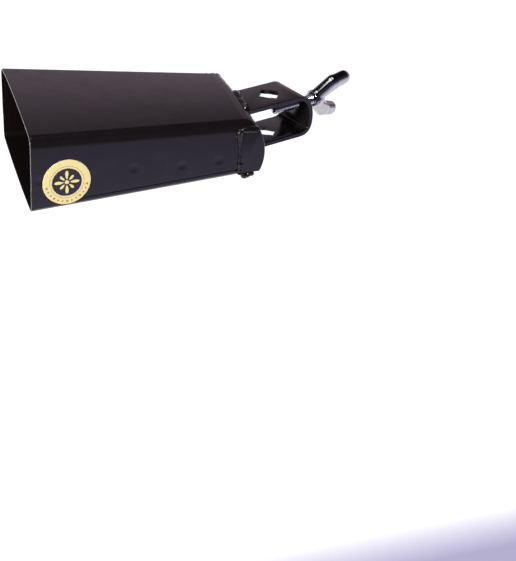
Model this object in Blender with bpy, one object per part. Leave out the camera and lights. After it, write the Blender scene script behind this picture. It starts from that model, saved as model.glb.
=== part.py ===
"""Sheet-steel cowbell with a welded clamp bracket and a wing bolt.

The origin is on the rod's axis, 16 mm below the top of the clamp, and +Z runs up the rod. The
bell lies along -X with its mouth at the far end. +Y is across the bell. Blender units are metres;
dimensions below are in millimetres and are scaled once, when each mesh is written.
"""

import math

import bmesh
import bpy
from mathutils import Matrix, Vector

MM = 0.001
GAP = 0.3

# Bell: sheet steel, tapering from the mouth to the closed end.
SHEET = 1.4
BELL_LENGTH = 169.0
MOUTH_WIDTH = 122.0
MOUTH_HEIGHT = 56.5
END_WIDTH = 88.4
END_HEIGHT = 41.4
CROWN = 2.0
UPPER_BEND = 7.0
LOWER_BEND = 5.5
END_BEND = 8.0
END_FACE_RADIUS = 36.0
END_FACE_HALF_ANGLE = 27.3
END_LEAN = 0.13
BELL_CENTRE_Y = -1.5
BELL_CENTRE_Z = -3.4
END_X = -17.3
MOUTH_X = END_X - BELL_LENGTH

# Side laps: the upper sheet's flange lies outside the lower sheet's flange.
OUTER_FLANGE_ABOVE_FLOOR = 6.4
MOUTH_FLANGE_EDGE = -9.4
FLANGE_CORNER_CUT = 15.0
INNER_FLANGE_TOP = 0.3

# Tabs bent forward from the closed end over both sides.
TAB_LENGTH = 19.5
TAB_TOP = 14.5
TAB_BOTTOM = -17.5
TAB_INSET = 0.15
TAB_EMBED = 1.2
TAB_EDGE_ROUND = 1.1

# Clamp bracket: one strip bent into a U and welded on at an angle to the bell.
BRACKET_YAW = math.radians(19.7)
STRIP_WIDTH = 32.6
STRIP_THICKNESS = 3.3
UPPER_LEG = 16.05
LOWER_LEG = -17.1
LEG_STOCK = 42.0
STRIP_EDGE_ROUND = 0.45

# Outside of the bend between the two legs, as (distance from the rod, height) pairs.
BRACKET_NOSE = (
    (13.0, UPPER_LEG),
    (17.8, UPPER_LEG),
    (22.3, 14.9),
    (26.6, 11.5),
    (29.8, 6.0),
    (31.3, 0.0),
    (31.6, -5.5),
    (31.0, -10.2),
    (28.8, -14.2),
    (24.8, -16.5),
    (20.4, LOWER_LEG),
    (16.0, LOWER_LEG),
)
ROD_HOLE_RADIUS = 7.0
ROD_NOTCH_REACH = 8.9
BOLT_HOLE_RADIUS = 4.25

# Wing bolt: 5/16 in stud in a cast wing head, a little above the middle of the bracket.
BOLT_RISE = 2.2
STUD_RADIUS = 3.95
STUD_TIP = 5.5
STUD_TIP_CHAMFER = 1.3
HEAD_BASE = 42.6
HEAD_BORE_DEPTH = 8.0
HUB_RADIUS = 7.0
HUB_HEIGHT = 13.0
WING_ROLL = math.radians(20.0)

# Each wing runs through three circles: (distance from the axis, height above the base, radius).
WING_ROOT = (3.5, 4.6, 4.2)
WING_SHOULDER = (12.2, 16.5, 5.2)
WING_TIP = (15.8, 26.0, 5.6)
NECK_THICKNESS = 9.0
LOBE_THICKNESS = 7.6
WING_EDGE_ROUND = 2.3

# Round label on the near side, by the mouth.
LABEL_RADIUS = 16.7
LABEL_THICKNESS = 0.35
LABEL_X = -162.1
LABEL_Z = -6.2

# Weld beads.
SEAM_BEAD = 1.6
TAB_BEAD = 2.0
LEG_BEAD = 2.6

PLATE_STEPS = 8
BEND_STEPS = 6
NOSE_STEPS = 3
ROUND_STEPS = 48


def clear_scene():
    for item in list(bpy.data.objects):
        bpy.data.objects.remove(item, do_unlink=True)


def paint(name, colour, roughness, metallic):
    material = bpy.data.materials.new(name)
    material.use_nodes = True
    shader = material.node_tree.nodes["Principled BSDF"]
    shader.inputs["Base Color"].default_value = (*colour, 1.0)
    shader.inputs["Roughness"].default_value = roughness
    shader.inputs["Metallic"].default_value = metallic
    material.diffuse_color = (*colour, 1.0)
    return material


def finish(name, shape, material=None, smooth_below=32.0):
    """Turns a bmesh in millimetres into an object in metres."""
    bmesh.ops.recalc_face_normals(shape, faces=shape.faces)
    bmesh.ops.scale(shape, vec=(MM, MM, MM), verts=shape.verts)
    mesh = bpy.data.meshes.new(name)
    shape.to_mesh(mesh)
    shape.free()
    item = bpy.data.objects.new(name, mesh)
    bpy.context.scene.collection.objects.link(item)
    if material:
        mesh.materials.append(material)
    mesh.shade_smooth()
    mesh.set_sharp_from_angle(angle=math.radians(smooth_below))
    return item


def combine(target, helper, operation, smooth_below=32.0):
    """Applies one exact Boolean to the target and removes the helper."""
    modifier = target.modifiers.new(operation.title(), "BOOLEAN")
    modifier.operation = operation
    modifier.solver = "EXACT"
    modifier.object = helper
    bpy.context.view_layer.update()
    graph = bpy.context.evaluated_depsgraph_get()
    mesh = bpy.data.meshes.new_from_object(target.evaluated_get(graph))
    target.modifiers.remove(modifier)
    target.data = mesh
    mesh.shade_smooth()
    mesh.set_sharp_from_angle(angle=math.radians(smooth_below))
    bpy.data.objects.remove(helper, do_unlink=True)


def arc(centre, radius, first, last, steps):
    """Points on an arc, both ends included; angles in degrees from +Y towards +Z."""
    found = []
    for step in range(steps + 1):
        angle = math.radians(first + (last - first) * step / steps)
        found.append((centre[0] + radius * math.cos(angle), centre[1] + radius * math.sin(angle)))
    return found


def plate(half_width, level, crown, outward):
    """Half of a crowned plate from the centre line out to its bend."""
    found = []
    for step in range(PLATE_STEPS + 1):
        share = step / PLATE_STEPS
        found.append((half_width * share, level + outward * crown * (1 - share * share)))
    return found


def leaned(x, z):
    """The closed end leans, so its lower edge stands further out; the lean fades to the mouth."""
    return x - END_LEAN * z * (x - MOUTH_X) / BELL_LENGTH


def ring(x, profile):
    """A closed ring of points across the bell, from the profile of its +Y half."""
    mirrored = [(-y, z) for y, z in reversed(profile[1:-1])]
    return [Vector((leaned(x, z), BELL_CENTRE_Y + y, BELL_CENTRE_Z + z)) for y, z in profile + mirrored]


def skin_profile(half_width, half_height, upper, lower, crown, edge):
    """Half profile of one skin: crowned plates, side bends and a step of one sheet at edge."""
    inner = half_width - SHEET
    top = plate(half_width - upper, half_height, crown, 1)
    top += arc((half_width - upper, half_height - upper), upper, 90, 0, BEND_STEPS)[1:]
    side = [(half_width, edge), (inner, edge)]
    bottom = arc((inner - lower, lower - half_height), lower, 0, -90, BEND_STEPS)[:-1]
    bottom += reversed(plate(inner - lower, -half_height, crown, -1))
    return top + side + bottom


def half_width_at(x):
    share = (END_X - x) / BELL_LENGTH
    return (END_WIDTH + (MOUTH_WIDTH - END_WIDTH) * share) / 2


def half_height_at(x):
    share = (END_X - x) / BELL_LENGTH
    return (END_HEIGHT + (MOUTH_HEIGHT - END_HEIGHT) * share) / 2


def end_profile(offset):
    """(x, half height) round the closed end, from the plate's bend to the tip of the end face."""
    slope = math.radians(90 - END_FACE_HALF_ANGLE)
    face_centre = END_X - END_FACE_RADIUS
    tangent_x = face_centre + END_FACE_RADIUS * math.sin(slope)
    tangent_z = END_FACE_RADIUS * math.cos(slope)
    bend_x = tangent_x - END_BEND * math.sin(slope)
    bend_z = tangent_z - END_BEND * math.cos(slope)
    found = []
    for angle in (0, 13, 26, 39, 51):
        turn = math.radians(angle)
        reach = END_BEND + offset
        found.append((bend_x + reach * math.sin(turn), bend_z + reach * math.cos(turn)))
    for angle in (62.7, 70, 77, 83, 88):
        turn = math.radians(angle)
        reach = END_FACE_RADIUS + offset
        found.append((face_centre + reach * math.sin(turn), reach * math.cos(turn)))
    return found


def end_x_at(height, offset=0.0):
    """The closed end's x at a height above or below the bell's centre line."""
    rise = abs(height)
    rows = end_profile(offset)
    found = rows[-1][0] if rise < rows[-1][1] else rows[0][0]
    for (x_high, z_high), (x_low, z_low) in zip(rows, rows[1:]):
        if z_low <= rise <= z_high:
            found = x_low + (x_high - x_low) * (rise - z_low) / (z_high - z_low)
    return leaned(found, height)


def outer_rings(grow=0.0):
    """The outer skin from mouth to closed end; grow moves it outwards."""
    rings = []
    tip_height = end_profile(0)[0][1]
    stations = [
        (MOUTH_X - grow, MOUTH_FLANGE_EDGE),
        (MOUTH_X + FLANGE_CORNER_CUT, None),
        (MOUTH_X + BELL_LENGTH / 2, None),
    ]
    for x, edge in stations:
        high = half_height_at(x) + grow
        edge = OUTER_FLANGE_ABOVE_FLOOR - high if edge is None else edge
        wide = half_width_at(x) + grow
        profile = skin_profile(wide, high, UPPER_BEND + grow, LOWER_BEND + grow, CROWN, edge)
        rings.append(ring(x, profile))
    for x, high in end_profile(grow):
        upper = min(UPPER_BEND + grow, 0.5 * high)
        lower = min(LOWER_BEND + grow, 0.45 * high)
        edge = min(OUTER_FLANGE_ABOVE_FLOOR, 0.55 * high) - high
        crown = CROWN * high / tip_height
        wide = half_width_at(x) + grow
        rings.append(ring(x, skin_profile(wide, high, upper, lower, crown, edge)))
    return rings


def inner_rings():
    """The inner skin, one sheet inside the outer one."""
    rings = []
    tip_height = end_profile(0)[0][1]
    for x in (MOUTH_X, MOUTH_X + FLANGE_CORNER_CUT, MOUTH_X + BELL_LENGTH / 2):
        high = half_height_at(x) - SHEET
        wide = half_width_at(x) - SHEET
        edge = INNER_FLANGE_TOP * high
        profile = skin_profile(wide, high, UPPER_BEND - SHEET, LOWER_BEND - SHEET, CROWN, edge)
        rings.append(ring(x, profile))
    for x, high in end_profile(-SHEET):
        upper = min(UPPER_BEND - SHEET, 0.5 * high)
        lower = min(LOWER_BEND - SHEET, 0.45 * high)
        wide = half_width_at(x) - SHEET
        crown = CROWN * high / tip_height
        profile = skin_profile(wide, high, upper, lower, crown, INNER_FLANGE_TOP * high)
        rings.append(ring(x, profile))
    return rings


def loft(shape, rings):
    """Joins the rings with quads and returns their vertices."""
    rows = [[shape.verts.new(point) for point in points] for points in rings]
    for near, far in zip(rows, rows[1:]):
        for index in range(len(near)):
            after = (index + 1) % len(near)
            shape.faces.new((near[index], near[after], far[after], far[index]))
    return rows


def side_frame(side):
    """Local frame on a side plane: X along it to the closed end, Z outwards, Y up or down."""
    taper = math.atan2((MOUTH_WIDTH - END_WIDTH) / 2, BELL_LENGTH)
    along = Vector((math.cos(taper), -side * math.sin(taper), 0))
    outward = Vector((math.sin(taper), side * math.cos(taper), 0))
    across = outward.cross(along)
    frame = Matrix((along, across, outward)).transposed().to_4x4()
    middle = Vector((END_X, BELL_CENTRE_Y + side * half_width_at(END_X), BELL_CENTRE_Z))
    return Matrix.Translation(middle) @ frame


def extruded(outline, low, high):
    """A prism over a closed outline in X and Y."""
    shape = bmesh.new()
    floor = [shape.verts.new((x, y, low)) for x, y in outline]
    base = shape.faces.new(floor)
    lifted = bmesh.ops.extrude_face_region(shape, geom=[base])
    top = [item for item in lifted["geom"] if isinstance(item, bmesh.types.BMVert)]
    bmesh.ops.translate(shape, verts=top, vec=(0, 0, high - low))
    return shape


def tab_outline(side):
    """Side view of a tab: straight front edge, rounded closed-end edge."""
    front = end_x_at(0) - TAB_LENGTH - END_X
    flip = 1 if side_frame(side).col[1].z > 0 else -1
    outline = [(front, flip * TAB_TOP), (front, flip * TAB_BOTTOM)]
    steps = 14
    for step in range(steps + 1):
        height = TAB_BOTTOM + (TAB_TOP - TAB_BOTTOM) * step / steps
        outline.append((end_x_at(height) - END_X - TAB_INSET, flip * height))
    return outline


def end_tab(name, side):
    shape = extruded(tab_outline(side), -TAB_EMBED, SHEET)
    top = [edge for edge in shape.edges if all(v.co.z > 0 for v in edge.verts)]
    bmesh.ops.bevel(shape, geom=top, offset=TAB_EDGE_ROUND, segments=3, affect="EDGES", profile=0.5)
    bmesh.ops.transform(shape, matrix=side_frame(side), verts=shape.verts)
    return finish(name, shape)


def bell_shell(material):
    """Folded blank: two crowned plates, lapped side flanges, closed end and its two tabs."""
    shape = bmesh.new()
    outside = loft(shape, outer_rings())
    inside = loft(shape, inner_rings())
    for index in range(len(outside[0])):
        after = (index + 1) % len(outside[0])
        rim = (outside[0][index], outside[0][after], inside[0][after], inside[0][index])
        shape.faces.new(rim)
    shape.faces.new(outside[-1])
    shape.faces.new(inside[-1])
    shell = finish("bell_shell", shape, material)
    for side in (-1, 1):
        combine(shell, end_tab("tab", side), "UNION")
    return shell


def bell_envelope(grow):
    """The bell as one solid block, grown outwards, to trim what is welded to it."""
    shape = bmesh.new()
    rows = loft(shape, outer_rings(grow))
    shape.faces.new(rows[0])
    shape.faces.new(rows[-1])
    return finish("envelope", shape)


def bracket_matrix():
    return Matrix.Rotation(BRACKET_YAW, 4, "Z")


def smooth_path(points, steps):
    """A smooth curve through the points, as a finer list of points."""
    last = len(points) - 1
    fine = [points[0]]
    for index in range(last):
        p0, p1 = Vector(points[max(index - 1, 0)]), Vector(points[index])
        p2, p3 = Vector(points[index + 1]), Vector(points[min(index + 2, last)])
        for step in range(1, steps + 1):
            t = step / steps
            bend = (2 * p0 - 5 * p1 + 4 * p2 - p3) * t + (3 * p1 - p0 - 3 * p2 + p3) * t * t
            fine.append(tuple(p1 + ((p2 - p0) + bend) * t / 2))
    return fine


def strip_profile():
    """Side view of the U: X along the legs, Y up."""
    outside = [(-LEG_STOCK, UPPER_LEG), *smooth_path(BRACKET_NOSE, NOSE_STEPS), (-LEG_STOCK, LOWER_LEG)]
    inside = []
    for index, (x, y) in enumerate(outside):
        x_before, y_before = outside[max(index - 1, 0)]
        x_after, y_after = outside[min(index + 1, len(outside) - 1)]
        inward = Vector((y_after - y_before, x_before - x_after)).normalized() * STRIP_THICKNESS
        inside.append((x + inward.x, y + inward.y))
    return outside + inside[::-1]


def rod_hole_cutter():
    """Round rod hole with four small V notches, through both legs."""
    outline = []
    for step in range(ROUND_STEPS):
        angle = math.tau * step / ROUND_STEPS
        notch = ROD_NOTCH_REACH / (abs(math.cos(angle)) + abs(math.sin(angle)))
        reach = max(ROD_HOLE_RADIUS, notch)
        outline.append((reach * math.cos(angle), reach * math.sin(angle)))
    shape = extruded(outline, 2 * LOWER_LEG, 2 * UPPER_LEG)
    bmesh.ops.transform(shape, matrix=bracket_matrix(), verts=shape.verts)
    return finish("rod_hole", shape)


def axis_matrix(start):
    """Local +Z along the bolt, from a point at that distance along its axis."""
    turn = Matrix.Rotation(math.radians(90), 4, "Y")
    return bracket_matrix() @ Matrix.Translation((start, 0, BOLT_RISE)) @ turn


def round_bar(profile, start):
    """A turned solid along the bolt axis from (radius, distance) pairs off start."""
    shape = bmesh.new()
    rows = []
    for radius, height in profile:
        row = []
        for step in range(ROUND_STEPS):
            angle = math.tau * step / ROUND_STEPS
            row.append(Vector((radius * math.cos(angle), radius * math.sin(angle), height)))
        rows.append(row)
    made = loft(shape, rows)
    shape.faces.new(made[0])
    shape.faces.new(made[-1])
    bmesh.ops.transform(shape, matrix=axis_matrix(start), verts=shape.verts)
    return shape


def mount_bracket(material):
    shape = extruded(strip_profile(), -STRIP_WIDTH / 2, STRIP_WIDTH / 2)
    rims = [e for e in shape.edges if abs(e.verts[0].co.z - e.verts[1].co.z) < GAP]
    bmesh.ops.bevel(
        shape, geom=rims, offset=STRIP_EDGE_ROUND, segments=2, affect="EDGES", profile=0.5
    )
    upright = Matrix.Rotation(math.radians(90), 4, "X")
    bmesh.ops.transform(shape, matrix=bracket_matrix() @ upright, verts=shape.verts)
    bracket = finish("mount_bracket", shape, material)
    combine(bracket, bell_envelope(GAP), "DIFFERENCE")
    combine(bracket, rod_hole_cutter(), "DIFFERENCE")
    through = [(BOLT_HOLE_RADIUS, 0), (BOLT_HOLE_RADIUS, 4 * STRIP_THICKNESS)]
    bolt_hole = round_bar(through, BRACKET_NOSE[5][0] - 2 * STRIP_THICKNESS)
    combine(bracket, finish("bolt_hole", bolt_hole), "DIFFERENCE")
    return bracket


def bolt_stud(material):
    length = HEAD_BASE + HEAD_BORE_DEPTH - GAP - STUD_TIP
    profile = [
        (STUD_RADIUS - STUD_TIP_CHAMFER, 0),
        (STUD_RADIUS, STUD_TIP_CHAMFER),
        (STUD_RADIUS, length),
    ]
    return finish("bolt_stud", round_bar(profile, STUD_TIP), material)


def wing_outline(circles):
    """The outline that wraps two circles, X away from the axis and Y along it."""
    outline = []
    for step in range(ROUND_STEPS):
        angle = math.tau * step / ROUND_STEPS
        across, along = math.cos(angle), math.sin(angle)
        reach = [c[0] * across + c[1] * along + c[2] for c in circles]
        chosen = circles[reach.index(max(reach))]
        outline.append((chosen[0] + chosen[2] * across, chosen[1] + chosen[2] * along))
    return outline


def wing_part(side, circles, thickness):
    shape = extruded(wing_outline(circles), -thickness / 2, thickness / 2)
    rims = [e for e in shape.edges if abs(e.verts[0].co.z - e.verts[1].co.z) < GAP]
    bmesh.ops.bevel(
        shape, geom=rims, offset=WING_EDGE_ROUND, segments=3, affect="EDGES", profile=0.5
    )
    upright = Matrix.Rotation(math.radians(90), 4, "X")
    roll = Matrix.Rotation(WING_ROLL, 4, "Z")
    flip = Matrix.Rotation(math.radians(180 if side < 0 else 0), 4, "Z")
    turned = axis_matrix(HEAD_BASE) @ roll @ flip @ upright
    bmesh.ops.transform(shape, matrix=turned, verts=shape.verts)
    return finish("wing", shape)


def wing_head(material):
    """Cast hub with a blind bore for the stud and two rounded wings."""
    hub = [
        (HUB_RADIUS - 0.8, 0),
        (HUB_RADIUS, 0.8),
        (HUB_RADIUS, 3.0),
        (0.8 * HUB_RADIUS, 0.75 * HUB_HEIGHT),
        (0.66 * HUB_RADIUS, 0.92 * HUB_HEIGHT),
        (0.3 * HUB_RADIUS, HUB_HEIGHT),
    ]
    head = finish("wing_head", round_bar(hub, HEAD_BASE), material)
    for side in (-1, 1):
        combine(head, wing_part(side, (WING_ROOT, WING_SHOULDER), NECK_THICKNESS), "UNION")
        combine(head, wing_part(side, (WING_SHOULDER, WING_TIP), LOBE_THICKNESS), "UNION")
    bore = round_bar([(STUD_RADIUS + GAP, -1), (STUD_RADIUS + GAP, HEAD_BORE_DEPTH)], HEAD_BASE)
    combine(head, finish("bore", bore), "DIFFERENCE")
    return head


def bead(name, path, up, radius, material, flat):
    """A weld bead along a path. A flat bead is a half round that stands on its path."""
    shape = bmesh.new()
    first, last = (0, 180) if flat else (0, 330)
    steps = 8 if flat else 11
    rows = []
    for index, point in enumerate(path):
        ahead = path[min(index + 1, len(path) - 1)] - path[max(index - 1, 0)]
        side = ahead.normalized().cross(up).normalized()
        ripple = radius * (1 - 0.08 * (index % 2))
        if index in (0, len(path) - 1):
            ripple *= 0.6
        section = arc((0, 0), ripple, first, last, steps)
        rows.append([point + side * across + up * rise for across, rise in section])
    made = loft(shape, rows)
    shape.faces.new(made[0])
    shape.faces.new(made[-1])
    weld = finish(name, shape, material, smooth_below=60.0)
    combine(weld, bell_envelope(GAP), "DIFFERENCE", smooth_below=60.0)
    return weld


def straight_path(first, last, steps):
    return [first.lerp(last, step / steps) for step in range(steps + 1)]


def tab_welds(prefix, side, material):
    """Three runs round each tab: its top edge, its front edge and its lower corner."""
    frame = side_frame(side)
    flip = 1 if frame.col[1].z > 0 else -1
    outward = (frame.to_3x3() @ Vector((0, 0, 1))).normalized()
    front = end_x_at(0) - TAB_LENGTH - END_X
    seam_x = front - GAP - SEAM_BEAD
    top_z = TAB_TOP + GAP + TAB_BEAD
    low_z = TAB_BOTTOM - GAP - TAB_BEAD
    runs = (
        ("seam_weld", (seam_x, TAB_TOP), (seam_x, TAB_BOTTOM), SEAM_BEAD, 0.3, 12),
        ("top_weld", (front + 2, top_z), (end_x_at(top_z) - END_X, top_z), TAB_BEAD, 0.4, 8),
        ("corner_weld", (front + 3, low_z), (front + 12, low_z), TAB_BEAD, -0.9, 6),
    )
    for suffix, first, last, radius, lift, steps in runs:
        start = frame @ Vector((first[0], flip * first[1], lift))
        stop = frame @ Vector((last[0], flip * last[1], lift))
        path = straight_path(start, stop, steps)
        bead(prefix + "_" + suffix, path, outward, radius, material, flat=False)


def leg_weld(name, side, material):
    """Fillet along the root of a bracket leg, on its outer face."""
    level = UPPER_LEG + GAP if side > 0 else LOWER_LEG - GAP
    face_x = end_x_at(level + side * GAP - BELL_CENTRE_Z)
    half = STRIP_WIDTH / 2 - LEG_BEAD / 2
    ends = []
    for across in (-half, half):
        along = (face_x + across * math.sin(BRACKET_YAW)) / math.cos(BRACKET_YAW)
        ends.append(bracket_matrix() @ Vector((along, across, level)))
    path = straight_path(ends[0], ends[1], 12)
    return bead(name, path, Vector((0, 0, side)), LEG_BEAD, material, flat=True)


def side_label(material):
    """Thin round label lying on the near side's outer flange."""
    shape = bmesh.new()
    bmesh.ops.create_cone(
        shape,
        cap_ends=True,
        segments=64,
        radius1=LABEL_RADIUS,
        radius2=LABEL_RADIUS,
        depth=LABEL_THICKNESS,
    )
    frame = side_frame(-1)
    taper = math.atan2((MOUTH_WIDTH - END_WIDTH) / 2, BELL_LENGTH)
    flip = 1 if frame.col[1].z > 0 else -1
    middle = Vector(((LABEL_X - END_X) / math.cos(taper), flip * LABEL_Z, GAP + LABEL_THICKNESS / 2))
    bmesh.ops.transform(shape, matrix=frame @ Matrix.Translation(middle), verts=shape.verts)
    return finish("side_label", shape, material)


def main():
    clear_scene()
    black = paint("black_enamel", (0.018, 0.017, 0.02), 0.35, 0.0)
    bracket_black = paint("bracket_enamel", (0.02, 0.018, 0.022), 0.28, 0.0)
    weld_black = paint("weld_enamel", (0.015, 0.014, 0.017), 0.4, 0.0)
    steel = paint("zinc_steel", (0.6, 0.6, 0.62), 0.3, 1.0)
    chrome = paint("chrome_head", (0.85, 0.85, 0.87), 0.08, 1.0)
    gold = paint("gold_label", (0.85, 0.68, 0.25), 0.35, 0.4)
    bell_shell(black)
    mount_bracket(bracket_black)
    tab_welds("near", -1, weld_black)
    tab_welds("far", 1, weld_black)
    leg_weld("upper_leg_weld", 1, weld_black)
    leg_weld("lower_leg_weld", -1, weld_black)
    bolt_stud(steel)
    wing_head(chrome)
    side_label(gold)


main()
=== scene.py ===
import math

import bmesh
import bpy
from mathutils import Matrix, Vector, noise


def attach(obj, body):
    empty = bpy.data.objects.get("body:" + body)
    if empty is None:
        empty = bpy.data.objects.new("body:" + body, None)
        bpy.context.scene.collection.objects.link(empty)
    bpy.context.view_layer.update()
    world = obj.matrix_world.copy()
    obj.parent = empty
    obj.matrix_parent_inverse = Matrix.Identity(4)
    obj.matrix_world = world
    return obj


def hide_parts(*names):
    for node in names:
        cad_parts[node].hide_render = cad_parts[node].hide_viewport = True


# Sheet-steel cowbell with a welded rod-clamp bracket and a wing bolt. +Z runs up the clamp rod,
# the bell lies along -X with its mouth at the far end, and the labelled side faces -Y. Every CAD
# node is replaced by a finer piece in the same place. Dimensions are in millimetres and are
# scaled once, when a mesh is written.

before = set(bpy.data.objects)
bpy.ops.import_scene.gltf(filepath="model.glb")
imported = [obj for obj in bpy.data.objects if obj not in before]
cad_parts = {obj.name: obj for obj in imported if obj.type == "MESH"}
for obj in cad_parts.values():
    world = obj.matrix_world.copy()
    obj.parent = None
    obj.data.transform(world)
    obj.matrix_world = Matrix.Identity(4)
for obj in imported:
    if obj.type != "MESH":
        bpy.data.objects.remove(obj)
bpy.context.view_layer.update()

MM = 0.001

# Bell: one folded blank of sheet steel.
SHEET = 1.4
BELL_LENGTH = 169.0
MOUTH_WIDTH = 122.0
MOUTH_HEIGHT = 56.5
END_WIDTH = 88.4
END_HEIGHT = 41.4
CROWN = 2.0
UPPER_BEND = 7.0
LOWER_BEND = 5.5
END_BEND = 8.0
END_FACE_RADIUS = 36.0
END_FACE_HALF_ANGLE = 27.3
END_LEAN = 0.13
BELL_CENTRE_Y = -1.5
BELL_CENTRE_Z = -3.4
END_X = -17.3
MOUTH_X = END_X - BELL_LENGTH
OUTER_FLANGE_ABOVE_FLOOR = 6.4
MOUTH_FLANGE_EDGE = -9.4
FLANGE_CORNER_CUT = 15.0
INNER_FLANGE_TOP = 0.3
RIM_ROUND = 0.6
LAP_ROUND = 0.55
SPOT_WELDS = ((-179.8, -3.0), (-115.2, -2.6), (-80.0, -5.6), (-52.2, -5.8))
SPOT_RADIUS = 3.1
SPOT_DEPTH = 0.25
HAND_WAVE = 0.09
SIDE_TAPER = math.atan2((MOUTH_WIDTH - END_WIDTH) / 2, BELL_LENGTH)

# Points along a half profile, and rings along the bell. The lap's step starts where the side ends.
PLATE_STEPS = 16
UPPER_BEND_STEPS = 9
LOWER_BEND_STEPS = 8
SIDE_STEPS = 30
LAP_INDEX = PLATE_STEPS + UPPER_BEND_STEPS + SIDE_STEPS
LAP_FACES = 3
OUTER_STATIONS = 96
INNER_STATIONS = 25

# Tabs bent forward from the closed end over both sides.
TAB_LENGTH = 19.5
TAB_TOP = 14.5
TAB_BOTTOM = -18.4
TAB_INSET = 0.15
TAB_EMBED = 1.2
TAB_EDGE_ROUND = 1.2
TAB_STEPS = 24

# Clamp bracket.
BRACKET_YAW = math.radians(19.7)
STRIP_WIDTH = 32.6
STRIP_THICKNESS = 3.3
UPPER_LEG = 16.05
LOWER_LEG = -17.1
LEG_BITE = 0.8
STRIP_EDGE_ROUND = 0.4
ROD_HOLE_RADIUS = 7.0
ROD_NOTCH_REACH = 8.9
BOLT_HOLE_RADIUS = 4.25
BOLT_HOLE_START = 24
BOLT_HOLE_LENGTH = 14
BRACKET_NOSE = (
    (13.0, UPPER_LEG),
    (17.8, UPPER_LEG),
    (22.3, 14.9),
    (26.6, 11.5),
    (29.8, 6.0),
    (31.3, 0.0),
    (31.6, -5.5),
    (31.0, -10.2),
    (28.8, -14.2),
    (24.8, -16.5),
    (20.4, LOWER_LEG),
    (16.0, LOWER_LEG),
)

# Wing bolt: 5/16-18 thread in a cast, chromed head.
BOLT_RISE = 2.2
STUD_RADIUS = 3.93
THREAD_PITCH = 1.411
THREAD_DEPTH = 0.75
STUD_TIP = 5.5
STUD_TIP_CHAMFER = 1.3
STUD_END = 50.2
HEAD_BASE = 42.6
HUB_RADIUS = 6.9
HUB_HEIGHT = 12.6
HEAD_BORE_RADIUS = 4.3
HEAD_BORE_DEPTH = 8.0
WING_ROLL = math.radians(20.0)
WING_ROOT = (3.5, 4.6, 4.2)
WING_SHOULDER = (13.0, 16.4, 6.0)
WING_TIP = (15.8, 25.7, 5.7)
NECK_THICKNESS = 9.8
LOBE_THICKNESS = 8.6
WING_EDGE_ROUND = 3.5
CAST_VOXEL = 0.42
CAST_SOFTNESS = 0.6
CAST_SMOOTHING = 12

# Round label on the near side: printed bands from the outside in, then the middle disc.
LABEL_X = -162.1
LABEL_Z = -6.2
LABEL_LIFT = 0.42
LABEL_RADIUS = 16.6
LABEL_LINE_OUTER = 11.95
LABEL_LINE_INNER = 11.65
LABEL_DISC = 10.3
LABEL_EDGE = 0.12
LABEL_STEPS = 96
PRINT_HEIGHT = 0.05

# Rosette and dots on the label: (reach, half width) of the long and the short petals.
PETALS = 8
PETAL_ROOT = 2.3
PETAL_SIZES = ((8.6, 1.45), (6.6, 1.15))
ROSETTE_HUB = 1.5
DOTS = 13
DOT_RING = 14.3
DOT_SIZES = (0.8, 0.62, 0.62)
DOT_FIRST = -78
DOT_SPACING = 13

# Weld beads.
SEAM_BEAD = 1.85
TAB_BEAD = 2.15
LEG_BEAD = 2.9
LEG_BEAD_INSET = 0.7
LEG_BEAD_OUT = 1.1
LEG_BEAD_LIFT = 0.1
BEAD_SPACING = 0.45
BEAD_SIDES = 18
BEAD_RIPPLE = 2.4

ROUND_STEPS = 64

# Floor, in metres. Along Y its glow is white behind FLOOR_BACK and cool in front of it, at half
# strength as far as FLOOR_NEAR, full beyond that, and almost gone past FLOOR_FAR.
FLOOR_HALF_SIZE = 7
FLOOR_HEIGHT = -0.35
FLOOR_GLOW = 1.02
FLOOR_BACK = (-0.15, -0.1)
FLOOR_NEAR = (-0.42, -0.30)
FLOOR_FAR = (-0.80, -0.64)
FLOOR_COOL = (0.56, 0.5, 0.88)
WHITE = (1.0, 1.0, 1.0)

# Camera: place in metres, then azimuth, elevation and roll in degrees, then focal length.
CAMERA_PLACE = (-0.29754, -0.76316, 0.37776)
CAMERA_ANGLES = (68.3725, -32.6794, 5.2823)
CAMERA_LENS = 83.72


# ---------------------------------------------------------------- materials


def new_material(name):
    material = bpy.data.materials.new(name)
    material.use_nodes = True
    return material, material.node_tree, material.node_tree.nodes["Principled BSDF"]


def place(tree):
    """Object coordinates in metres, shared by a material's patterns."""
    return tree.nodes.new("ShaderNodeTexCoord").outputs["Object"]


def noise_of(tree, where, scale, detail=2.0, rough=0.5):
    node = tree.nodes.new("ShaderNodeTexNoise")
    node.inputs["Scale"].default_value = scale
    node.inputs["Detail"].default_value = detail
    node.inputs["Roughness"].default_value = rough
    tree.links.new(where, node.inputs["Vector"])
    return node.outputs["Fac"]


def remap(tree, value, low, high, to_low, to_high):
    node = tree.nodes.new("ShaderNodeMapRange")
    keys = ("From Min", "From Max", "To Min", "To Max")
    for key, number in zip(keys, (low, high, to_low, to_high)):
        node.inputs[key].default_value = number
    tree.links.new(value, node.inputs["Value"])
    return node.outputs["Result"]


def multiply(tree, first, second):
    node = tree.nodes.new("ShaderNodeMath")
    node.operation = "MULTIPLY"
    tree.links.new(first, node.inputs[0])
    tree.links.new(second, node.inputs[1])
    return node.outputs["Value"]


def blend_colours(tree, share, first, second):
    """Mixes two colours; each is a plain colour or another node's output."""
    node = tree.nodes.new("ShaderNodeMix")
    node.data_type = "RGBA"
    tree.links.new(share, node.inputs["Factor"])
    for key, colour in (("A", first), ("B", second)):
        socket = [i for i in node.inputs if i.name == key and i.type == "RGBA"][0]
        if isinstance(colour, tuple):
            socket.default_value = (*colour, 1.0)
        else:
            tree.links.new(colour, socket)
    return [o for o in node.outputs if o.type == "RGBA"][0]


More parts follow.
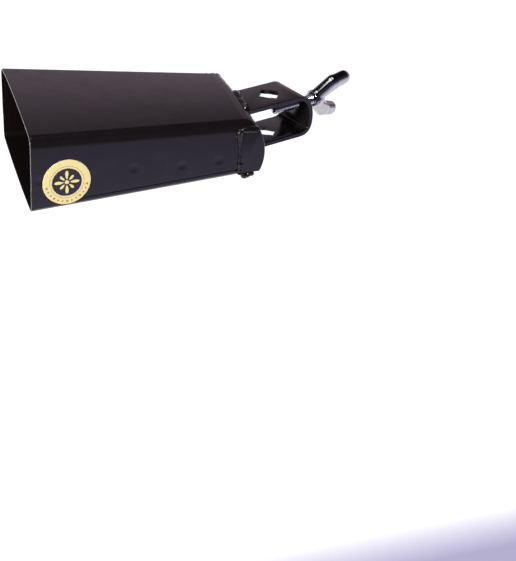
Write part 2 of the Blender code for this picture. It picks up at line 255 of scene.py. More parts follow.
def bump_from(tree, height, strength, distance, under=None):
    node = tree.nodes.new("ShaderNodeBump")
    node.inputs["Strength"].default_value = strength
    node.inputs["Distance"].default_value = distance * MM
    tree.links.new(height, node.inputs["Height"])
    if under:
        tree.links.new(under, node.inputs["Normal"])
    return node.outputs["Normal"]


def axis_value(tree, where, axis):
    node = tree.nodes.new("ShaderNodeSeparateXYZ")
    tree.links.new(where, node.inputs["Vector"])
    return node.outputs[axis]


def enamel(name, colour, smooth, dull, peel, worn_and_highlit_rim=False, specks=0.0):
    """Sprayed black enamel: orange peel, uneven gloss, dust, and bare steel along a worn rim,
    which also paints in the rim's highlight line.
    """
    material, tree, shader = new_material(name)
    where = place(tree)
    dusty = remap(tree, noise_of(tree, where, 520, 5.0, 0.7), 0.62, 0.8, 0.0, 0.5)
    dust_colour = tuple(0.03 + 1.6 * value for value in colour)
    base = blend_colours(tree, dusty, colour, dust_colour)
    metal = None
    if worn_and_highlit_rim:
        # Partly real wear, partly painted highlight: a grey metal band within 0.3 mm of the mouth,
        # never fully masked off, paints a light line along the rim's edge.
        rim = remap(tree, axis_value(tree, where, "X"), -186.25 * MM, -185.95 * MM, 1.0, 0.0)
        chips_and_highlight = remap(tree, noise_of(tree, where, 120, 4.0, 0.5), 0.35, 0.6, 0.45, 0.8)
        metal = multiply(tree, rim, chips_and_highlight)
        base = blend_colours(tree, metal, base, (0.36, 0.36, 0.38))
    if specks:
        scale = remap(tree, noise_of(tree, where, 330, 2.0, 0.5), 0.66, 0.7, 0.0, specks)
        base = blend_colours(tree, scale, base, (0.32, 0.16, 0.07))
    if metal:
        tree.links.new(metal, shader.inputs["Metallic"])
    tree.links.new(base, shader.inputs["Base Color"])
    gloss = remap(tree, noise_of(tree, where, 70, 6.0, 0.62), 0.3, 0.7, smooth, dull)
    tree.links.new(gloss, shader.inputs["Roughness"])
    waves = bump_from(tree, noise_of(tree, where, 130, 1.0), 0.35, 0.12)
    orange = bump_from(tree, noise_of(tree, where, 800, 1.5), peel, 0.03, waves)
    grain = bump_from(tree, noise_of(tree, where, 3200, 2.0), 0.12, 0.006, orange)
    tree.links.new(grain, shader.inputs["Normal"])
    return material


def plated(name, colour, smooth, dull, ripple):
    """Bright plating with smudges, faint casting ripples and fine scratches."""
    material, tree, shader = new_material(name)
    where = place(tree)
    shader.inputs["Metallic"].default_value = 1.0
    tarnish = remap(tree, noise_of(tree, where, 210, 5.0, 0.65), 0.45, 0.75, 0.0, 0.4)
    darker = tuple(0.62 * value for value in colour)
    tree.links.new(blend_colours(tree, tarnish, colour, darker), shader.inputs["Base Color"])
    gloss = remap(tree, noise_of(tree, where, 330, 6.0, 0.7), 0.35, 0.72, smooth, dull)
    tree.links.new(gloss, shader.inputs["Roughness"])
    cast = bump_from(tree, noise_of(tree, where, 240, 1.5), ripple, 0.06)
    scratched = bump_from(tree, noise_of(tree, where, 4200, 2.0), 0.05, 0.004, cast)
    tree.links.new(scratched, shader.inputs["Normal"])
    return material


def printed(name, colour, shade, smooth, dull):
    """Printed film: slight ink mottling, soft sheen and a fine surface grain."""
    material, tree, shader = new_material(name)
    where = place(tree)
    mottle = remap(tree, noise_of(tree, where, 380, 4.0, 0.6), 0.35, 0.75, 0.0, 1.0)
    tree.links.new(blend_colours(tree, mottle, colour, shade), shader.inputs["Base Color"])
    gloss = remap(tree, noise_of(tree, where, 150, 5.0), 0.3, 0.7, smooth, dull)
    tree.links.new(gloss, shader.inputs["Roughness"])
    film = bump_from(tree, noise_of(tree, where, 160, 1.0), 0.25, 0.05)
    grain = bump_from(tree, noise_of(tree, where, 2600, 2.0), 0.1, 0.005, film)
    tree.links.new(grain, shader.inputs["Normal"])
    return material


BLACK = enamel("bell_enamel", (0.0075, 0.0056, 0.0066), 0.17, 0.3, 0.45, worn_and_highlit_rim=True)
BRACKET_BLACK = enamel("bracket_enamel", (0.0075, 0.0056, 0.0062), 0.11, 0.24, 0.5)
WELD_BLACK = enamel("weld_enamel", (0.0075, 0.0056, 0.0062), 0.1, 0.24, 0.55, specks=0.8)
THREAD_STEEL = plated("zinc_thread", (0.6, 0.61, 0.66), 0.12, 0.28, 0.3)
CHROME = plated("polished_chrome", (0.44, 0.44, 0.475), 0.035, 0.1, 0.16)
GOLD = printed("gold_print", (0.93, 0.79, 0.36), (0.88, 0.73, 0.31), 0.3, 0.42)
BROWN = printed("brown_print", (0.42, 0.27, 0.10), (0.33, 0.20, 0.07), 0.3, 0.45)
# Painted shade: a darker, almost unreflecting black for the bell's inside and the lap's step.
PAINTED_SHADE_BLACK = enamel("painted_shade_enamel", (0.0034, 0.0022, 0.0019), 0.55, 0.75, 0.3)
PAINTED_SHADE_BLACK.node_tree.nodes["Principled BSDF"].inputs["Specular IOR Level"].default_value = 0.03
DARK_PRINT = printed("black_print", (0.018, 0.016, 0.018), (0.028, 0.025, 0.026), 0.24, 0.4)


# ---------------------------------------------------------------- mesh helpers


def piece(name, shape, materials, body=None, nodes=None, smooth_below=40.0):
    """Writes a bmesh in millimetres as a piece; a finished one rides on a body."""
    bmesh.ops.recalc_face_normals(shape, faces=shape.faces)
    bmesh.ops.scale(shape, vec=(MM, MM, MM), verts=shape.verts)
    mesh = bpy.data.meshes.new(name)
    shape.to_mesh(mesh)
    shape.free()
    item = bpy.data.objects.new(name, mesh)
    bpy.context.scene.collection.objects.link(item)
    for material in materials:
        mesh.materials.append(material)
    mesh.shade_smooth()
    mesh.set_sharp_from_angle(angle=math.radians(smooth_below))
    if body:
        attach(item, body)
    if nodes:
        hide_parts(*nodes)
    return item


def combine(target, helper, operation, smooth_below=40.0):
    """Applies one exact Boolean to the target and removes the helper."""
    modifier = target.modifiers.new(operation.title(), "BOOLEAN")
    modifier.operation = operation
    modifier.solver = "EXACT"
    modifier.object = helper
    bpy.context.view_layer.update()
    graph = bpy.context.evaluated_depsgraph_get()
    mesh = bpy.data.meshes.new_from_object(target.evaluated_get(graph))
    target.modifiers.remove(modifier)
    target.data = mesh
    mesh.shade_smooth()
    mesh.set_sharp_from_angle(angle=math.radians(smooth_below))
    bpy.data.objects.remove(helper, do_unlink=True)


def loft(shape, rings):
    """Joins closed rings with quads and returns their vertices."""
    rows = [[shape.verts.new(point) for point in points] for points in rings]
    for near, far in zip(rows, rows[1:]):
        for index in range(len(near)):
            after = (index + 1) % len(near)
            shape.faces.new((near[index], near[after], far[after], far[index]))
    return rows


def solid_loft(rings):
    """A solid through closed rings, capped at both ends."""
    shape = bmesh.new()
    rows = loft(shape, rings)
    shape.faces.new(rows[0])
    shape.faces.new(rows[-1])
    return shape


def circle(radius, steps, centre=(0, 0)):
    angles = [math.tau * step / steps for step in range(steps)]
    return [(centre[0] + radius * math.cos(a), centre[1] + radius * math.sin(a)) for a in angles]


def extruded(outline, low, high):
    """A prism over a closed outline in X and Y."""
    shape = bmesh.new()
    base = shape.faces.new([shape.verts.new((x, y, low)) for x, y in outline])
    lifted = bmesh.ops.extrude_face_region(shape, geom=[base])
    top = [item for item in lifted["geom"] if isinstance(item, bmesh.types.BMVert)]
    bmesh.ops.translate(shape, verts=top, vec=(0, 0, high - low))
    return shape


def round_rims(shape, offset, segments):
    """Rounds the edges that bound both flat faces of a prism along Z."""
    rims = [e for e in shape.edges if abs(e.verts[0].co.z - e.verts[1].co.z) < 0.01]
    bmesh.ops.bevel(shape, geom=rims, offset=offset, segments=segments, affect="EDGES", profile=0.5)


def arc(centre, radius, first, last, steps):
    """Points on an arc, both ends included; angles in degrees from +Y towards +Z."""
    found = []
    for step in range(steps + 1):
        angle = math.radians(first + (last - first) * step / steps)
        found.append((centre[0] + radius * math.cos(angle), centre[1] + radius * math.sin(angle)))
    return found


def between(first, last, steps):
    """Points strictly between two points."""
    return [
        (first[0] + (last[0] - first[0]) * k / steps, first[1] + (last[1] - first[1]) * k / steps)
        for k in range(1, steps)
    ]


# ---------------------------------------------------------------- bell


def half_width_at(x):
    return (END_WIDTH + (MOUTH_WIDTH - END_WIDTH) * (END_X - x) / BELL_LENGTH) / 2


def half_height_at(x):
    return (END_HEIGHT + (MOUTH_HEIGHT - END_HEIGHT) * (END_X - x) / BELL_LENGTH) / 2


def plate(half_width, level, crown, outward, steps):
    """Half of a crowned plate from the centre line out to its bend."""
    shares = [step / steps for step in range(steps + 1)]
    return [(half_width * s, level + outward * crown * (1 - s * s)) for s in shares]


def skin_profile(wide, high, upper, lower, crown, edge, lap):
    """Half profile of one skin: crowned plates, bends and the lap's rounded step at edge."""
    inner = wide - lap
    soft = min(LAP_ROUND, 0.45 * lap)
    top = plate(wide - upper, high, crown, 1, PLATE_STEPS)
    top += arc((wide - upper, high - upper), upper, 90, 0, UPPER_BEND_STEPS)[1:]
    step = [(wide, edge + soft), (wide - 0.3 * soft, edge + 0.3 * soft)]
    step += [(wide - soft, edge), (inner, edge)]
    side = between(top[-1], step[0], SIDE_STEPS) + step
    foot = (inner, lower - high)
    side += between(step[-1], foot, 3)
    bottom = arc((inner - lower, lower - high), lower, 0, -90, LOWER_BEND_STEPS)
    bottom += plate(inner - lower, -high, crown, -1, PLATE_STEPS)[::-1][1:]
    return top + side + bottom


def leaned(x, z):
    """The closed end leans, so its lower edge stands further out; the lean fades to the mouth."""
    return x - END_LEAN * z * (x - MOUTH_X) / BELL_LENGTH


def ring(x, profile):
    """A whole ring at x from half a profile."""
    whole = profile + [(-y, z) for y, z in reversed(profile[1:-1])]
    return [Vector((leaned(x, z), BELL_CENTRE_Y + y, BELL_CENTRE_Z + z)) for y, z in whole]


def end_profile(offset):
    """(x, half height) round the closed end, from the plate's bend to the tip of the end face."""
    slope = math.radians(90 - END_FACE_HALF_ANGLE)
    face_centre = END_X - END_FACE_RADIUS
    bend_x = face_centre + (END_FACE_RADIUS - END_BEND) * math.sin(slope)
    bend_z = (END_FACE_RADIUS - END_BEND) * math.cos(slope)
    found = []
    for angle in range(0, 61, 6):
        turn = math.radians(angle)
        reach = END_BEND + offset
        found.append((bend_x + reach * math.sin(turn), bend_z + reach * math.cos(turn)))
    for angle in (62.7, 65, 68, 71, 74, 77, 80, 83, 86, 88.5):
        turn = math.radians(angle)
        reach = END_FACE_RADIUS + offset
        found.append((face_centre + reach * math.sin(turn), reach * math.cos(turn)))
    return found


def end_x_at(height, offset=0.0):
    """The closed end's x at a height above or below the bell's centre line."""
    rise = abs(height)
    rows = end_profile(offset)
    found = rows[-1][0] if rise < rows[-1][1] else rows[0][0]
    for (x_high, z_high), (x_low, z_low) in zip(rows, rows[1:]):
        if z_low <= rise <= z_high:
            found = x_low + (x_high - x_low) * (rise - z_low) / (z_high - z_low)
    return leaned(found, height)


def body_ring(x, inset, inner):
    """One ring across the straight part; inset moves the skin inwards."""
    skin = SHEET if inner else 0.0
    high = half_height_at(x) - skin - inset
    wide = half_width_at(x) - skin - inset
    if inner:
        edge = INNER_FLANGE_TOP * high
    else:
        near_mouth = max(0.0, 1 - (x - MOUTH_X) / FLANGE_CORNER_CUT)
        corner_x = MOUTH_X + FLANGE_CORNER_CUT
        low = OUTER_FLANGE_ABOVE_FLOOR - half_height_at(max(x, corner_x))
        edge = low + (MOUTH_FLANGE_EDGE - low) * near_mouth
    upper = UPPER_BEND - skin - inset
    lower = LOWER_BEND - skin - inset
    return ring(x, skin_profile(wide, high, upper, lower, CROWN, edge, SHEET))


def end_ring(x, high, offset, inner):
    tip_height = end_profile(0)[0][1]
    upper = min(UPPER_BEND + offset, 0.5 * high)
    lower = min(LOWER_BEND + offset, 0.45 * high)
    edge = INNER_FLANGE_TOP * high if inner else min(OUTER_FLANGE_ABOVE_FLOOR, 0.55 * high) - high
    wide = half_width_at(x) + offset
    return ring(x, skin_profile(wide, high, upper, lower, CROWN * high / tip_height, edge, SHEET))


def dent(point):
    """How far hand forming and the spot welds push the outer skin in or out at a point."""
    low = noise.noise(Vector((point.x / 23, point.y / 19, point.z / 17)))
    fine = noise.noise(Vector((point.x / 8, point.y / 9, point.z / 7 + 40)))
    push = HAND_WAVE * (low + 0.25 * fine)
    near = point.y < BELL_CENTRE_Y
    for x, z in SPOT_WELDS:
        away = math.hypot(point.x - x, point.z - BELL_CENTRE_Z - z)
        if near and away < SPOT_RADIUS:
            push -= SPOT_DEPTH * (1 - (away / SPOT_RADIUS) ** 2) ** 0.5
    return push


def shape_by_hand(row):
    """Moves one ring's points along the skin's own direction."""
    found = []
    for index, point in enumerate(row):
        ahead = row[(index + 1) % len(row)] - row[index - 1]
        outward = Vector((0, ahead.z, -ahead.y)).normalized()
        middle = Vector((point.x, BELL_CENTRE_Y, BELL_CENTRE_Z))
        if outward.dot(point - middle) < 0:
            outward.negate()
        found.append(point + outward * min(dent(point), 0.0))
    return found


def both_sides(first, around):
    """Columns of faces along the lap's step on one side of a ring, and their mirror images."""
    near = range(first, first + LAP_FACES)
    return {*near, *(around - 1 - column for column in near)}


def bell_shell():
    """Outer skin from the closed end to the mouth, over the rim, then the inner skin back."""
    straight_end = end_profile(0)[0][0]
    start = MOUTH_X + RIM_ROUND
    rings = [end_ring(x, high, 0, False) for x, high in reversed(end_profile(0))]
    for step in range(1, OUTER_STATIONS + 1):
        x = straight_end + (start - straight_end) * step / OUTER_STATIONS
        rings.append(shape_by_hand(body_ring(x, 0, False)))
    for inner, way, angles in ((False, 1, (30, 60, 90)), (True, -1, (90, 60, 30, 0))):
        for angle in angles:
            turn = math.radians(angle)
            inset = way * RIM_ROUND * (1 - math.cos(turn))
            rings.append(body_ring(MOUTH_X + RIM_ROUND * (1 - math.sin(turn)), inset, inner))
    inside_end = end_profile(-SHEET)
    for step in range(1, INNER_STATIONS):
        x = start + (inside_end[0][0] - start) * step / INNER_STATIONS
        rings.append(body_ring(x, 0, True))
    rings += [end_ring(x, high, -SHEET, True) for x, high in inside_end]
    shape = solid_loft(rings)
    shape.faces.ensure_lookup_table()

    # Painted shade, darker than the rest: the inside, apart from its sides above the inner
    # flanges, then the lap's step, and past the outer flange's cut corner the strip just
    # under that step.
    around = len(rings[0])
    outer_rows = len(end_profile(0)) + OUTER_STATIONS + 1
    lip = both_sides(LAP_INDEX, around)
    under_lip = both_sides(LAP_INDEX + LAP_FACES, around)
    for index, face in enumerate(shape.faces):
        row, column = divmod(index, around)
        middle = face.calc_center_median()
        past_corner = middle.x > MOUTH_X + FLANGE_CORNER_CUT
        above_flange = BELL_CENTRE_Z + INNER_FLANGE_TOP * half_height_at(middle.x)
        bare_side = middle.z > above_flange and abs(face.normal.y) > 0.5
        inside = row > outer_rows and not bare_side
        lap_painted_shade = column in lip or (column in under_lip and past_corner)
        if inside or (row < outer_rows and lap_painted_shade):
            face.material_index = 1
    piece("bell_body", shape, [BLACK, PAINTED_SHADE_BLACK], "bell", ["bell_shell"])


def side_frame(side):
    """Local frame on a side plane: X along it to the closed end, Z outwards, Y up or down."""
    along = Vector((math.cos(SIDE_TAPER), -side * math.sin(SIDE_TAPER), 0))
    outward = Vector((math.sin(SIDE_TAPER), side * math.cos(SIDE_TAPER), 0))
    axes = Matrix((along, outward.cross(along), outward)).transposed().to_4x4()
    middle = Vector((END_X, BELL_CENTRE_Y + side * half_width_at(END_X), BELL_CENTRE_Z))
    return Matrix.Translation(middle) @ axes


def up_sign(side):
    return 1 if side_frame(side).col[1].z > 0 else -1


def end_tab(name, side):
    front = end_x_at(0) - TAB_LENGTH - END_X
    flip = up_sign(side)
    outline = [(front, flip * TAB_TOP), (front, flip * TAB_BOTTOM)]
    for step in range(TAB_STEPS + 1):
        height = TAB_BOTTOM + (TAB_TOP - TAB_BOTTOM) * step / TAB_STEPS
        outline.append((end_x_at(height) - END_X - TAB_INSET, flip * height))
    shape = extruded(outline, -TAB_EMBED, SHEET)
    top = [edge for edge in shape.edges if all(v.co.z > 0 for v in edge.verts)]
    bmesh.ops.bevel(shape, geom=top, offset=TAB_EDGE_ROUND, segments=6, affect="EDGES", profile=0.5)
    bmesh.ops.transform(shape, matrix=side_frame(side), verts=shape.verts)
    piece(name, shape, [BLACK], "bell")


# ---------------------------------------------------------------- welds


def fine_path(points, spacing):
    """The path's points at an even spacing, as (point, distance) pairs."""
    found = []
    travelled = 0.0
    for first, last in zip(points, points[1:]):
        steps = max(2, round((last - first).length / spacing))
        for step in range(steps):
            share = step / steps
            found.append((first.lerp(last, share), travelled + (last - first).length * share))
        travelled += (last - first).length
    found.append((points[-1], travelled))
    return found


def width_at(widths, share):
    """Reads a list of relative widths along a bead."""
    spot = share * (len(widths) - 1)
    first = min(int(spot), len(widths) - 2)
    return widths[first] + (widths[first + 1] - widths[first]) * (spot - first)


def melted_bead(name, node, points, up, radius, seed, widths):
    """A hand-laid bead: overlapping ripples, uneven width and lumpy, rounded ends."""
    path = fine_path(points, BEAD_SPACING)
    total = path[-1][1]
    rows = []
    for index, (point, along) in enumerate(path):
        ahead = path[min(index + 1, len(path) - 1)][0] - path[max(index - 1, 0)][0]
        side = ahead.normalized().cross(up).normalized()
        drift = noise.noise(Vector((along / 4.5, seed, 0.5)))
        swell = width_at(widths, along / total)
        swell += 0.14 * noise.noise(Vector((along / 3.0, seed, 7.5)))
        swell += 0.04 * math.sin(math.tau * along / BEAD_RIPPLE)
        from_end = min(along, total - along) / radius
        taper = math.sqrt(max(0.04, 1 - max(0.0, 1 - from_end) ** 2))
        size = radius * swell * taper
        centre = point + side * drift * 0.4 * radius
        row = []
        for step in range(BEAD_SIDES):
            angle = math.tau * step / BEAD_SIDES
            spot = Vector((along / 2.0, seed + math.cos(angle), math.sin(angle)))
            reach = size * (1 + 0.13 * noise.noise(spot))
            row.append(centre + side * reach * math.cos(angle) + up * reach * math.sin(angle))
        rows.append(row)
    shape = solid_loft(rows)
    piece(name, shape, [WELD_BLACK], "bell", [node], smooth_below=80.0)


def tab_welds(prefix, side, seed):
    """Three runs round each tab: its front edge, its top edge and its lower corner."""
    place_on = side_frame(side)
    flip = up_sign(side)
    outward = (place_on.to_3x3() @ Vector((0, 0, 1))).normalized()
    front = end_x_at(0) - TAB_LENGTH - END_X
    end_at = end_x_at(TAB_TOP) - END_X
    seam = (
        (front - 0.9, TAB_TOP + 1.6),
        (front - 0.3, 6),
        (front + 0.4, -4),
        (front + 1.2, -13),
        (front + 1.5, TAB_BOTTOM - 1.2),
    )
    top = (
        (front - 0.4, TAB_TOP + 1.5),
        (front + 6, TAB_TOP + 1.5),
        (end_at - 4.2, TAB_TOP + 0.6),
        (end_at - 1.6, TAB_TOP - 1.2),
    )
    corner = (
        (front + 2.5, TAB_BOTTOM - 1.6),
        (front + 7, TAB_BOTTOM - 2.2),
        (front + 12.6, TAB_BOTTOM - 0.9),
    )
    runs = (
        ("seam", seam, SEAM_BEAD, 0.2, (1.6, 1.05, 0.6, 0.7, 1.2, 1.3)),
        ("top", top, TAB_BEAD, 0.2, (0.9, 1.2, 1.25)),
        ("corner", corner, TAB_BEAD, -0.6, (1.3, 1.15, 1.3)),
    )
    for number, (suffix, corners, radius, lift, widths) in enumerate(runs):
        points = [place_on @ Vector((x, flip * z, lift)) for x, z in corners]
        name = f"{prefix}_{suffix}_bead"
        node = f"{prefix}_{suffix}_weld"
        melted_bead(name, node, points, outward, radius, seed + 11 * number, widths)


def leg_weld(name, node, level, side, seed):
    """Fillet along the root of a bracket leg, on its outer face."""
    face_x = end_x_at(level - BELL_CENTRE_Z)
    half = STRIP_WIDTH / 2 - LEG_BEAD_INSET * LEG_BEAD
    points = []
    for share in (-1, -0.5, 0, 0.5, 1):
        across = half * share
        along = (face_x + across * math.sin(BRACKET_YAW)) / math.cos(BRACKET_YAW)
        place_at = Vector((along + LEG_BEAD_OUT, across, level + side * LEG_BEAD_LIFT))
        points.append(bracket_matrix() @ place_at)
    widths = (1.1, 1.0, 1.05, 1.0, 1.1)
    melted_bead(name, node, points, Vector((0, 0, side)), LEG_BEAD, seed, widths)


# ---------------------------------------------------------------- bracket


def bracket_matrix():
    return Matrix.Rotation(BRACKET_YAW, 4, "Z")


def axis_matrix(start):
    """Local +Z along the bolt, from a point at that distance along its axis."""
    turn = Matrix.Rotation(math.radians(90), 4, "Y")
    return bracket_matrix() @ Matrix.Translation((start, 0, BOLT_RISE)) @ turn


def smooth_path(points, steps):
    """A smooth curve through the points, as a finer list of points."""
    last = len(points) - 1
    fine = [points[0]]
    for index in range(last):
        p0, p1 = Vector(points[max(index - 1, 0)]), Vector(points[index])
        p2, p3 = Vector(points[index + 1]), Vector(points[min(index + 2, last)])
        for step in range(1, steps + 1):
            t = step / steps
            bend = (2 * p0 - 5 * p1 + 4 * p2 - p3) * t + (3 * p1 - p0 - 3 * p2 + p3) * t * t
            fine.append(tuple(p1 + ((p2 - p0) + bend) * t / 2))
    return fine


def leg_root(level):
    """Where a leg's middle meets the closed end, just inside its skin."""
    return end_x_at(level - BELL_CENTRE_Z) / math.cos(BRACKET_YAW) - LEG_BITE


def strip_outline():
    """Side view of the U: X along the legs, Y up."""
    nose = smooth_path(BRACKET_NOSE, 6)
    outside = [(leg_root(UPPER_LEG), UPPER_LEG), *nose, (leg_root(LOWER_LEG), LOWER_LEG)]
    inside = []
    for index, (x, y) in enumerate(outside):
        x_before, y_before = outside[max(index - 1, 0)]
        x_after, y_after = outside[min(index + 1, len(outside) - 1)]
        inward = Vector((y_after - y_before, x_before - x_after)).normalized() * STRIP_THICKNESS
        inside.append((x + inward.x, y + inward.y))
    inside[0] = (leg_root(inside[0][1]), inside[0][1])
    inside[-1] = (leg_root(inside[-1][1]), inside[-1][1])
    return outside + inside[::-1]


def turned_bar(profile, start):
    """A turned solid along the bolt axis from (radius, distance) pairs off start."""
    rings = []
    for radius, height in profile:
        rings.append([Vector((x, y, height)) for x, y in circle(radius, ROUND_STEPS)])
    shape = solid_loft(rings)
    bmesh.ops.transform(shape, matrix=axis_matrix(start), verts=shape.verts)
    return shape


def bracket():
    """The U strip. Its legs run on into the bell's closed end, where the fillets hide them."""
    shape = extruded(strip_outline(), -STRIP_WIDTH / 2, STRIP_WIDTH / 2)
    round_rims(shape, STRIP_EDGE_ROUND, 4)
    for vert in shape.verts:
        if vert.co.x < 0:
            # The legs' roots follow the slanted closed end.
            reach = min(1.0, vert.co.x / END_X)
            vert.co.x -= reach * vert.co.z * math.tan(BRACKET_YAW)
    upright = Matrix.Rotation(math.radians(90), 4, "X")
    bmesh.ops.transform(shape, matrix=bracket_matrix() @ upright, verts=shape.verts)
    nodes = ["mount_bracket"]
    strip = piece("clamp_strip", shape, [BRACKET_BLACK], "bell", nodes)
    outline = []
    for step in range(ROUND_STEPS):
        angle = math.tau * step / ROUND_STEPS
        notch = ROD_NOTCH_REACH / (abs(math.cos(angle)) + abs(math.sin(angle)))
        reach = max(ROD_HOLE_RADIUS, notch)
        outline.append((reach * math.cos(angle), reach * math.sin(angle)))
    hole = extruded(outline, 2 * LOWER_LEG, 2 * UPPER_LEG)
    bmesh.ops.transform(hole, matrix=bracket_matrix(), verts=hole.verts)
    combine(strip, piece("rod_hole", hole, [BRACKET_BLACK]), "DIFFERENCE")
    bore = [(BOLT_HOLE_RADIUS, 0), (BOLT_HOLE_RADIUS, BOLT_HOLE_LENGTH)]
    through = turned_bar(bore, BOLT_HOLE_START)
    combine(strip, piece("bolt_hole", through, [BRACKET_BLACK]), "DIFFERENCE")


# ---------------------------------------------------------------- wing bolt


def threaded_stud():
    """The stud with a real 60 degree thread, run out at its chamfered tip."""
    per_turn = 36
    per_pitch = 8
    length = STUD_END - STUD_TIP
    rows = []
    for level in range(round(length / THREAD_PITCH * per_pitch) + 1):
        height = min(level * THREAD_PITCH / per_pitch, length)
        row = []
        for step in range(per_turn):
            turn = step / per_turn
            phase = (height / THREAD_PITCH - turn) % 1.0
            # A triangular groove with its crest and its root cut flat.
            groove = max(0.0, min(1.0, 1.25 * (1 - abs(2 * phase - 1)) - 0.1))
            radius = STUD_RADIUS - THREAD_DEPTH * groove
            radius = min(radius, STUD_RADIUS - STUD_TIP_CHAMFER + height)
            angle = math.tau * turn
            row.append(Vector((radius * math.cos(angle), radius * math.sin(angle), height)))
        rows.append(row)
    shape = solid_loft(rows)
    bmesh.ops.transform(shape, matrix=axis_matrix(STUD_TIP), verts=shape.verts)
    piece("threaded_stud", shape, [THREAD_STEEL], "stud", ["bolt_stud"], 75.0)


def wing_outline(circles):
    """The outline that wraps two circles, X away from the axis and Y along it."""
    outline = []
    for step in range(ROUND_STEPS):
        angle = math.tau * step / ROUND_STEPS
        across, along = math.cos(angle), math.sin(angle)
        reach = [c[0] * across + c[1] * along + c[2] for c in circles]
        chosen = circles[reach.index(max(reach))]
        outline.append((chosen[0] + chosen[2] * across, chosen[1] + chosen[2] * along))
    return outline


def wing_part(side, circles, thickness):
    shape = extruded(wing_outline(circles), -thickness / 2, thickness / 2)
    round_rims(shape, WING_EDGE_ROUND, 4)
    upright = Matrix.Rotation(math.radians(90), 4, "X")
    roll = Matrix.Rotation(WING_ROLL, 4, "Z")
    flip = Matrix.Rotation(math.radians(180 if side < 0 else 0), 4, "Z")
    turned = axis_matrix(HEAD_BASE) @ roll @ flip @ upright
    bmesh.ops.transform(shape, matrix=turned, verts=shape.verts)
    return piece("wing_part", shape, [CHROME])


def wing_head():
    """Cast head: hub and wings run together with smooth fillets."""
    hub = [(5.9, 0.35), (6.6, 0.5), (HUB_RADIUS, 1.2), (HUB_RADIUS, 4.0), (6.3, 7.0), (5.4, 9.6)]
    hub += [(4.2, 11.4), (2.4, HUB_HEIGHT - 0.3), (0.8, HUB_HEIGHT)]
    bar = turned_bar(hub, HEAD_BASE)
    head = piece("cast_head", bar, [CHROME], "wings", ["wing_head"])
    for side in (-1, 1):
        combine(head, wing_part(side, (WING_ROOT, WING_SHOULDER), NECK_THICKNESS), "UNION")
        combine(head, wing_part(side, (WING_SHOULDER, WING_TIP), LOBE_THICKNESS), "UNION")
    remesh = head.modifiers.new("Remesh", "REMESH")
    remesh.mode = "VOXEL"
    remesh.voxel_size = CAST_VOXEL * MM
    soften = head.modifiers.new("Soften", "SMOOTH")
    soften.factor = CAST_SOFTNESS
    soften.iterations = CAST_SMOOTHING
    bore = turned_bar([(HEAD_BORE_RADIUS, -1), (HEAD_BORE_RADIUS, HEAD_BORE_DEPTH)], HEAD_BASE)
    combine(head, piece("bore", bore, [CHROME]), "DIFFERENCE", smooth_below=50.0)
    head.modifiers.clear()


# ---------------------------------------------------------------- label


def label_matrix():
    across = (LABEL_X - END_X) / math.cos(SIDE_TAPER)
    return side_frame(-1) @ Matrix.Translation((across, up_sign(-1) * LABEL_Z, 0))


def label():
    """Thin printed film: gold band, thin line, dark middle, a plain rosette and a row of dots."""
    bands = (
        (LABEL_RADIUS - LABEL_EDGE, 0),
        (LABEL_LINE_OUTER, 1),
        (LABEL_LINE_INNER, 0),
        (LABEL_DISC, 2),
    )
    radii = [LABEL_RADIUS, *(radius for radius, _ in bands), 0.4]
    levels = [PRINT_HEIGHT] + [LABEL_LIFT] * (len(bands) + 1)
    rings = []
    for radius, level in zip(radii, levels):
        rings.append([Vector((x, y, level)) for x, y in circle(radius, LABEL_STEPS)])
    shape = bmesh.new()
    rows = loft(shape, rings)
    shape.faces.new(rows[-1]).material_index = 2
    shape.faces.new(rows[0])
    shape.faces.ensure_lookup_table()
    for index, (_, kind) in enumerate(bands):
        for step in range(LABEL_STEPS):
            shape.faces[(index + 1) * LABEL_STEPS + step].material_index = kind
    for kind, outline in emblem_outlines():
        lifted = [shape.verts.new((x, y, LABEL_LIFT + PRINT_HEIGHT)) for x, y in outline]
        sunk = [shape.verts.new((x, y, LABEL_LIFT - PRINT_HEIGHT)) for x, y in outline]
        made = [shape.faces.new(lifted), shape.faces.new(sunk[::-1])]
        for k in range(len(outline)):
            after = (k + 1) % len(outline)
            made.append(shape.faces.new((sunk[k], sunk[after], lifted[after], lifted[k])))
        for face in made:
            face.material_index = kind
    bmesh.ops.transform(shape, matrix=label_matrix(), verts=shape.verts)
    inks = [GOLD, BROWN, DARK_PRINT]
    piece("round_label", shape, inks, "bell", ["side_label"], smooth_below=30.0)


def petal_outline(turn, reach, wide):
    """One petal, pointing away from the rosette's middle at an angle."""
    outline = []
    for step in range(16):
        angle = math.tau * step / 16
        out = (PETAL_ROOT + reach) / 2 + (reach - PETAL_ROOT) / 2 * math.cos(angle)
        over = wide * math.sin(angle) * (0.75 + 0.25 * math.cos(angle))
        x = out * math.cos(turn) - over * math.sin(turn)
        y = out * math.sin(turn) + over * math.cos(turn)
        outline.append((x, y))
    return outline


def emblem_outlines():
    """(ink, outline) pairs: a rosette round a hub, and a row of dots low on the band."""
    found = []
    for petal in range(PETALS):
        reach, wide = PETAL_SIZES[petal % 2]
        found.append((0, petal_outline(math.tau * petal / PETALS, reach, wide)))
    found.append((0, circle(ROSETTE_HUB, 24)))
    down = -up_sign(-1)
    for dot in range(DOTS):
        turn = math.radians(DOT_FIRST + DOT_SPACING * dot)
        centre = (DOT_RING * math.sin(turn), down * DOT_RING * math.cos(turn))
        found.append((1, circle(DOT_SIZES[dot % 3], 12, centre)))
    return found


# ---------------------------------------------------------------- floor, light and camera


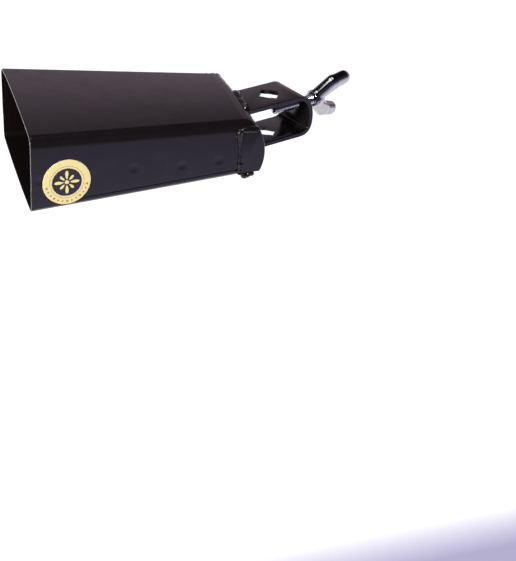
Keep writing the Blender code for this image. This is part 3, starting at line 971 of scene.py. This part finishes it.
def floor():
    """A pale floor that glows softly: brightest behind the object, cooler and dimmer in front."""
    material, tree, shader = new_material("pale_floor")
    where = place(tree)
    shader.inputs["Base Color"].default_value = (0.22, 0.22, 0.22, 1)
    shader.inputs["Roughness"].default_value = 0.9
    back = remap(tree, axis_value(tree, where, "Y"), *FLOOR_BACK, 0.0, 1.0)
    dimmed = remap(tree, axis_value(tree, where, "Y"), *FLOOR_NEAR, 1.0, 0.5)
    strength = blend_colours(tree, back, dimmed, WHITE)
    level = tree.nodes.new("ShaderNodeValue").outputs["Value"]
    level.default_value = FLOOR_GLOW
    far_front = remap(tree, axis_value(tree, where, "Y"), *FLOOR_FAR, 0.03, 1.0)
    glow = multiply(tree, multiply(tree, far_front, strength), level)
    tree.links.new(glow, shader.inputs["Emission Strength"])
    tint = blend_colours(tree, back, FLOOR_COOL, WHITE)
    tree.links.new(tint, shader.inputs["Emission Color"])
    shape = bmesh.new()
    corners = ((-1, -1), (1, -1), (1, 1), (-1, 1))
    half = FLOOR_HALF_SIZE
    shape.faces.new([shape.verts.new((half * x, half * y, 0)) for x, y in corners])
    mesh = bpy.data.meshes.new("floor")
    shape.to_mesh(mesh)
    shape.free()
    mesh.materials.append(material)
    item = bpy.data.objects.new("floor", mesh)
    item.location.z = FLOOR_HEIGHT
    bpy.context.scene.collection.objects.link(item)


def studio():
    """Surroundings: a pale wall low down behind the object and a dark room above and in front."""
    world = bpy.data.worlds.new("studio")
    world.use_nodes = True
    tree = world.node_tree
    where = tree.nodes.new("ShaderNodeTexCoord").outputs["Generated"]
    height = axis_value(tree, where, "Z")
    behind = axis_value(tree, where, "Y")
    low = remap(tree, height, 0.40, 0.66, 1.0, 0.0)
    back = remap(tree, behind, -0.15, 0.35, 0.12, 1.0)
    share = multiply(tree, low, back)
    colour = blend_colours(tree, share, (0.012, 0.010, 0.012), (0.44, 0.355, 0.425))
    tree.links.new(colour, tree.nodes["Background"].inputs["Color"])
    bpy.context.scene.world = world


def softbox(name, where, target, size, power):
    """A round white area light, aimed at a target."""
    light = bpy.data.lights.new(name, "AREA")
    light.shape = "DISK"
    light.size = size
    light.energy = power
    item = bpy.data.objects.new(name, light)
    item.location = where
    item.rotation_euler = (Vector(target) - Vector(where)).to_track_quat("-Z", "Y").to_euler()
    bpy.context.scene.collection.objects.link(item)


def camera():
    """Looks down on the near side from beyond the mouth end."""
    azimuth, elevation, roll = (math.radians(angle) for angle in CAMERA_ANGLES)
    flat = math.cos(elevation)
    forward = Vector((flat * math.cos(azimuth), flat * math.sin(azimuth), math.sin(elevation)))
    level = forward.cross(Vector((0, 0, 1))).normalized()
    right = level * math.cos(roll) + level.cross(forward) * math.sin(roll)
    axes = Matrix((right, right.cross(forward), -forward)).transposed().to_4x4()
    lens = bpy.data.cameras.new("camera")
    lens.sensor_fit = "HORIZONTAL"
    lens.sensor_width = 36
    lens.lens = CAMERA_LENS
    item = bpy.data.objects.new("camera", lens)
    item.matrix_world = Matrix.Translation(CAMERA_PLACE) @ axes
    bpy.context.scene.collection.objects.link(item)
    bpy.context.scene.camera = item


bell_shell()
end_tab("near_end_tab", -1)
end_tab("far_end_tab", 1)
bracket()
tab_welds("near", -1, 3.0)
tab_welds("far", 1, 61.0)
leg_weld("upper_leg_fillet", "upper_leg_weld", UPPER_LEG, 1, 21.0)
leg_weld("lower_leg_fillet", "lower_leg_weld", LOWER_LEG, -1, 33.0)
threaded_stud()
wing_head()
label()

floor()
studio()
softbox("key", (-1.25, -0.85, 0.75), (-0.08, 0, 0), 0.45, 42)
softbox("wing_root", (-0.79, -0.06, 1.36), (0.06, 0.02, 0.01), 0.55, 1.6)
softbox("wing_tip", (-0.13, 0.08, 1.6), (0.06, 0.02, 0.01), 0.48, 1.3)
camera()
bpy.context.scene.view_settings.view_transform = "Standard"
